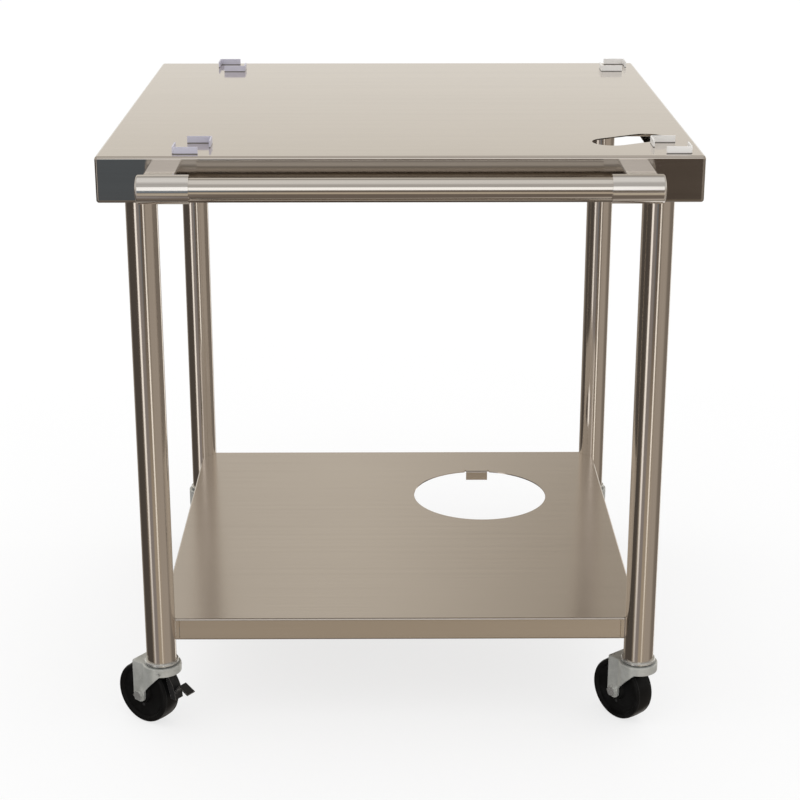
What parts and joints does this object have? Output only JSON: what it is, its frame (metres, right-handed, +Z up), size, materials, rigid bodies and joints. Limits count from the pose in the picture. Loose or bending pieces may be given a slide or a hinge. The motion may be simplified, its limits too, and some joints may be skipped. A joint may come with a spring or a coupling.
{
  "type": "pizza oven cart",
  "caption": "Stainless oven stand on swivel casters: flat top with foot clips and hose slot, push handle, round legs, lower shelf with gas-cylinder hole.",
  "frame": {"origin": "on the floor, in the middle of the cart's footprint including the handle and the casters as they stand", "axes": "+Z up, +Y from the handle side to the back, +X to the right seen from the handle side"},
  "size_m": [0.7767, 0.8374, 0.824],
  "materials": {
    "stainless_sheet": "brushed stainless sheet, grain from side to side",
    "stainless_tube": "polished stainless tube",
    "stainless_cast": "polished stainless casting",
    "stainless_clip": "bright stainless strip",
    "cast_steel": "plain casting",
    "zinc_plate": "zinc-plated pressing",
    "zinc_fastener": "zinc-plated fastener",
    "ball_steel": "hardened balls",
    "black_wheel": "black moulded hard rubber",
    "expander_rubber": "plain rubber",
    "black_brake": "black painted pressing"
  },
  "bodies": {
    "cart": {"deck_panel": "stainless_sheet", "deck_channel_front": "stainless_sheet", "deck_channel_rear": "stainless_sheet", "shelf_panel": "stainless_sheet", "leg_sockets": "cast_steel", "socket_screws": "zinc_fastener", "handle_bar": "stainless_tube", "handle_end_left": "stainless_cast", "handle_end_right": "stainless_cast", "handle_bolts": "zinc_fastener", "handle_grub_screws": "zinc_fastener", "stem_nuts": "zinc_fastener", "leg_front_left": "stainless_tube", "foot_clips_front_left": "stainless_clip", "caster_front_left_stem": "zinc_plate", "caster_front_left_expander": "expander_rubber", "leg_front_right": "stainless_tube", "foot_clips_front_right": "stainless_clip", "caster_front_right_stem": "zinc_plate", "caster_front_right_expander": "expander_rubber", "leg_rear_left": "stainless_tube", "foot_clips_rear_left": "stainless_clip", "caster_rear_left_stem": "zinc_plate", "caster_rear_left_expander": "expander_rubber", "leg_rear_right": "stainless_tube", "foot_clips_rear_right": "stainless_clip", "caster_rear_right_stem": "zinc_plate", "caster_rear_right_expander": "expander_rubber"},
    "swivel_front_left": {"caster_front_left_fork": "zinc_plate", "caster_front_left_bushing": "zinc_fastener", "caster_front_left_axle_bolt": "zinc_fastener", "caster_front_left_axle_nut": "zinc_fastener", "caster_front_left_balls": "ball_steel", "caster_front_left_brake_pin": "zinc_fastener"},
    "wheel_front_left": {"caster_front_left_wheel": "black_wheel"},
    "brake_front_left": {"caster_front_left_brake_lever": "black_brake"},
    "swivel_front_right": {"caster_front_right_fork": "zinc_plate", "caster_front_right_bushing": "zinc_fastener", "caster_front_right_axle_bolt": "zinc_fastener", "caster_front_right_axle_nut": "zinc_fastener", "caster_front_right_balls": "ball_steel"},
    "wheel_front_right": {"caster_front_right_wheel": "black_wheel"},
    "swivel_rear_left": {"caster_rear_left_fork": "zinc_plate", "caster_rear_left_bushing": "zinc_fastener", "caster_rear_left_axle_bolt": "zinc_fastener", "caster_rear_left_axle_nut": "zinc_fastener", "caster_rear_left_balls": "ball_steel"},
    "wheel_rear_left": {"caster_rear_left_wheel": "black_wheel"},
    "swivel_rear_right": {"caster_rear_right_fork": "zinc_plate", "caster_rear_right_bushing": "zinc_fastener", "caster_rear_right_axle_bolt": "zinc_fastener", "caster_rear_right_axle_nut": "zinc_fastener", "caster_rear_right_balls": "ball_steel", "caster_rear_right_brake_pin": "zinc_fastener"},
    "wheel_rear_right": {"caster_rear_right_wheel": "black_wheel"},
    "brake_rear_right": {"caster_rear_right_brake_lever": "black_brake"}
  },
  "joints": [
    {"name": "swivel_front_left", "type": "hinge", "parent": "cart", "child": "swivel_front_left", "pos_m": [-0.32269, -0.295, 0.0955], "axis": [0, 0, 1], "continuous": true},
    {"name": "spin_front_left", "type": "hinge", "parent": "swivel_front_left", "child": "wheel_front_left", "pos_m": [-0.34453, -0.27913, 0.04445], "axis": [-0.5878, -0.809, 0], "continuous": true},
    {"name": "swivel_front_right", "type": "hinge", "parent": "cart", "child": "swivel_front_right", "pos_m": [0.33931, -0.295, 0.0955], "axis": [0, 0, 1], "continuous": true},
    {"name": "spin_front_right", "type": "hinge", "parent": "swivel_front_right", "child": "wheel_front_right", "pos_m": [0.32232, -0.27402, 0.04445], "axis": [-0.7771, -0.6293, 0], "continuous": true},
    {"name": "swivel_rear_left", "type": "hinge", "parent": "cart", "child": "swivel_rear_left", "pos_m": [-0.32269, 0.367, 0.0955], "axis": [0, 0, 1], "continuous": true},
    {"name": "spin_rear_left", "type": "hinge", "parent": "swivel_rear_left", "child": "wheel_rear_left", "pos_m": [-0.318, 0.34041, 0.04445], "axis": [0.9848, 0.1736, 0], "continuous": true},
    {"name": "swivel_rear_right", "type": "hinge", "parent": "cart", "child": "swivel_rear_right", "pos_m": [0.33931, 0.367, 0.0955], "axis": [0, 0, 1], "continuous": true},
    {"name": "spin_rear_right", "type": "hinge", "parent": "swivel_rear_right", "child": "wheel_rear_right", "pos_m": [0.33602, 0.3402, 0.04445], "axis": [0.9925, -0.1219, 0], "continuous": true},
    {"name": "brake_front_left", "type": "hinge", "parent": "swivel_front_left", "child": "brake_front_left", "pos_m": [-0.31097, -0.30351, 0.08801], "axis": [0.5878, 0.809, 0], "range_deg": [0, 4.5]},
    {"name": "brake_rear_right", "type": "hinge", "parent": "swivel_rear_right", "child": "brake_rear_right", "pos_m": [0.34108, 0.38137, 0.08801], "axis": [-0.9925, 0.1219, 0], "range_deg": [0, 4.5]}
  ]
}
